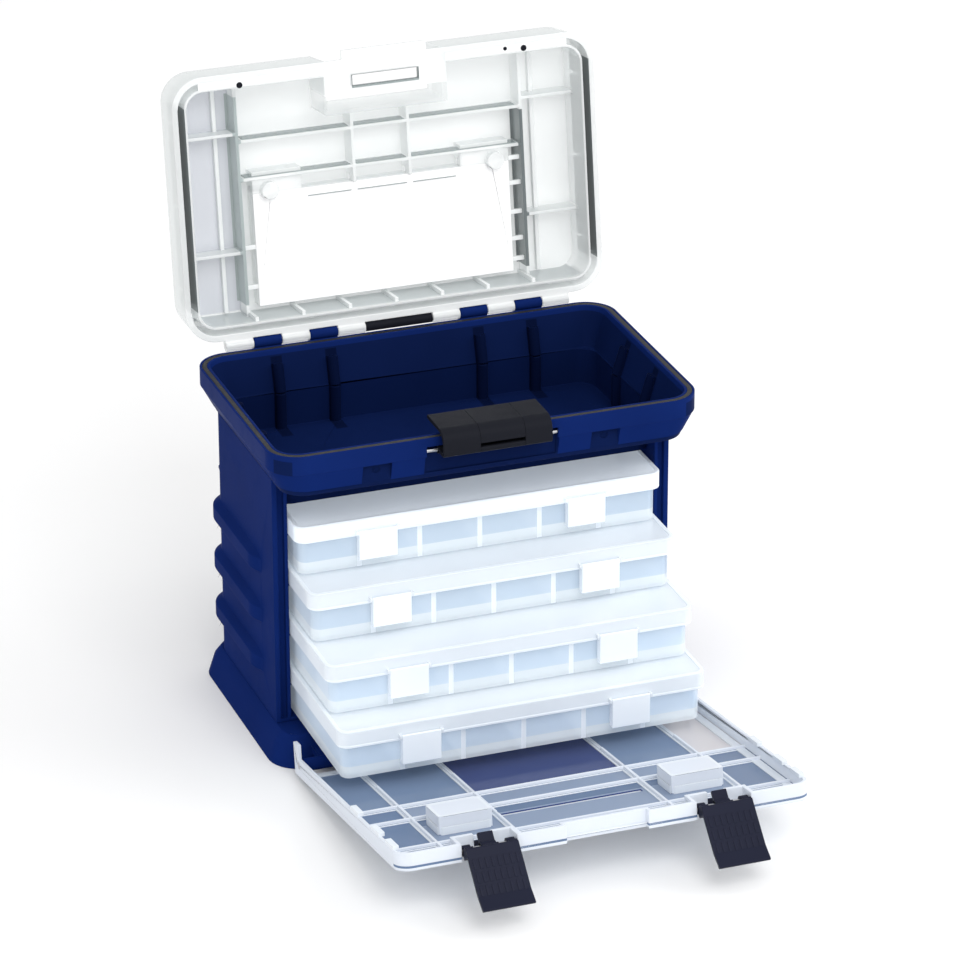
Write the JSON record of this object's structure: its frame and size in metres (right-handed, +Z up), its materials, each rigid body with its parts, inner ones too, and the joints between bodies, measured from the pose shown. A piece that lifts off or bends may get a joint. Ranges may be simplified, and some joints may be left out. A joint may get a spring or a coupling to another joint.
{
  "type": "fishing tackle cabinet",
  "caption": "Blue tackle cabinet: clear hinged lid over a bulk tub, clear slide-out boxes behind a fold-down clear door, grey latches; open, with the boxes pulled out in steps.",
  "frame": {"origin": "centre of the standing pad on the floor, midway between left and right", "axes": "+X to the object's right seen from its front, +Y to the back, +Z up"},
  "size_m": [0.271, 0.4415, 0.3812],
  "materials": {
    "case_blue": "glossy moulded navy blue",
    "box_clear": "milky clear moulded plastic",
    "lid_clear": "milky clear moulded plastic",
    "door_clear": "clear moulded plastic",
    "latch_grey": "dark slate moulded plastic",
    "seal_black": "soft black seal",
    "steel": "plain steel pins and screws"
  },
  "bodies": {
    "cabinet": {"base_plinth": "case_blue", "base_screws": "steel", "door_hinge_pins": "steel", "cabinet_case": "case_blue", "bulk_tub": "case_blue", "rim_gasket": "seal_black", "tub_screws": "steel", "lid_latch_pin": "steel", "lid_hinge_rod": "steel", "hinge_sleeve": "latch_grey"},
    "lid": {"top_lid": "lid_clear", "handle_pivot_pins": "steel"},
    "handle": {"carry_handle": "lid_clear"},
    "lid_catch": {"lid_latch": "latch_grey"},
    "door": {"front_door": "door_clear", "door_latch_pins": "steel"},
    "door_latch_l": {"door_latch_left": "latch_grey"},
    "door_latch_r": {"door_latch_right": "latch_grey"},
    "tray_1": {"tray_1_box": "box_clear", "tray_1_lid": "box_clear", "tray_1_hinge_pins": "steel", "tray_1_dividers": "box_clear"},
    "tray_1_latch_l": {"tray_1_latch_left": "box_clear"},
    "tray_1_latch_r": {"tray_1_latch_right": "box_clear"},
    "tray_2": {"tray_2_box": "box_clear", "tray_2_lid": "box_clear", "tray_2_hinge_pins": "steel", "tray_2_dividers": "box_clear"},
    "tray_2_latch_l": {"tray_2_latch_left": "box_clear"},
    "tray_2_latch_r": {"tray_2_latch_right": "box_clear"},
    "tray_3": {"tray_3_box": "box_clear", "tray_3_lid": "box_clear", "tray_3_hinge_pins": "steel", "tray_3_dividers": "box_clear"},
    "tray_3_latch_l": {"tray_3_latch_left": "box_clear"},
    "tray_3_latch_r": {"tray_3_latch_right": "box_clear"},
    "tray_4": {"tray_4_box": "box_clear", "tray_4_lid": "box_clear", "tray_4_hinge_pins": "steel", "tray_4_dividers": "box_clear"},
    "tray_4_latch_l": {"tray_4_latch_left": "box_clear"},
    "tray_4_latch_r": {"tray_4_latch_right": "box_clear"}
  },
  "joints": [
    {"name": "lid_hinge", "type": "hinge", "parent": "cabinet", "child": "lid", "pos_m": [0, 0.0847, 0.209], "axis": [-1, 0, 0], "range_deg": [-98, 0]},
    {"name": "carry_handle_hinge", "type": "hinge", "parent": "lid", "child": "handle", "pos_m": [0, 0.12099, 0.29478], "axis": [1, 0, 0], "range_deg": [-8, 90]},
    {"name": "lid_latch_hinge", "type": "hinge", "parent": "cabinet", "child": "lid_catch", "pos_m": [0, -0.0812, 0.1983], "axis": [1, 0, 0], "range_deg": [0, 90]},
    {"name": "front_door_hinge", "type": "hinge", "parent": "cabinet", "child": "door", "pos_m": [0, -0.0915, 0.011], "axis": [1, 0, 0], "range_deg": [-81, 0]},
    {"name": "door_latch_l_hinge", "type": "hinge", "parent": "door", "child": "door_latch_l", "pos_m": [-0.0715, -0.26853, 0.03752], "axis": [-1, 0, 0], "range_deg": [-127, 40]},
    {"name": "door_latch_r_hinge", "type": "hinge", "parent": "door", "child": "door_latch_r", "pos_m": [0.0715, -0.26853, 0.03752], "axis": [-1, 0, 0], "range_deg": [-127, 40]},
    {"name": "tray_1_slide", "type": "slide", "parent": "cabinet", "child": "tray_1", "axis": [0, -1, 0], "range_m": [-0.0035, 0.095]},
    {"name": "tray_1_latch_l_hinge", "type": "hinge", "parent": "tray_1", "child": "tray_1_latch_l", "pos_m": [-0.066, -0.0656, 0.14475], "axis": [-1, 0, 0], "range_deg": [0, 100]},
    {"name": "tray_1_latch_r_hinge", "type": "hinge", "parent": "tray_1", "child": "tray_1_latch_r", "pos_m": [0.066, -0.0656, 0.14475], "axis": [-1, 0, 0], "range_deg": [0, 100]},
    {"name": "tray_2_slide", "type": "slide", "parent": "cabinet", "child": "tray_2", "axis": [0, -1, 0], "range_m": [-0.0275, 0]},
    {"name": "tray_2_latch_l_hinge", "type": "hinge", "parent": "tray_2", "child": "tray_2_latch_l", "pos_m": [-0.066, -0.0896, 0.11175], "axis": [-1, 0, 0], "range_deg": [0, 100]},
    {"name": "tray_2_latch_r_hinge", "type": "hinge", "parent": "tray_2", "child": "tray_2_latch_r", "pos_m": [0.066, -0.0896, 0.11175], "axis": [-1, 0, 0], "range_deg": [0, 100]},
    {"name": "tray_3_slide", "type": "slide", "parent": "cabinet", "child": "tray_3", "axis": [0, -1, 0], "range_m": [-0.0575, 0]},
    {"name": "tray_3_latch_l_hinge", "type": "hinge", "parent": "tray_3", "child": "tray_3_latch_l", "pos_m": [-0.066, -0.1196, 0.07875], "axis": [-1, 0, 0], "range_deg": [0, 100]},
    {"name": "tray_3_latch_r_hinge", "type": "hinge", "parent": "tray_3", "child": "tray_3_latch_r", "pos_m": [0.066, -0.1196, 0.07875], "axis": [-1, 0, 0], "range_deg": [0, 100]},
    {"name": "tray_4_slide", "type": "slide", "parent": "cabinet", "child": "tray_4", "axis": [0, -1, 0], "range_m": [-0.0785, 0]},
    {"name": "tray_4_latch_l_hinge", "type": "hinge", "parent": "tray_4", "child": "tray_4_latch_l", "pos_m": [-0.066, -0.1406, 0.04575], "axis": [-1, 0, 0], "range_deg": [0, 100]},
    {"name": "tray_4_latch_r_hinge", "type": "hinge", "parent": "tray_4", "child": "tray_4_latch_r", "pos_m": [0.066, -0.1406, 0.04575], "axis": [-1, 0, 0], "range_deg": [0, 100]}
  ],
  "couplings": [
    {"joint": "tray_2_slide", "follows": "front_door_hinge", "m_per_rad": 0.019452},
    {"joint": "tray_3_slide", "follows": "front_door_hinge", "m_per_rad": 0.040673},
    {"joint": "tray_4_slide", "follows": "front_door_hinge", "m_per_rad": 0.055527}
  ]
}
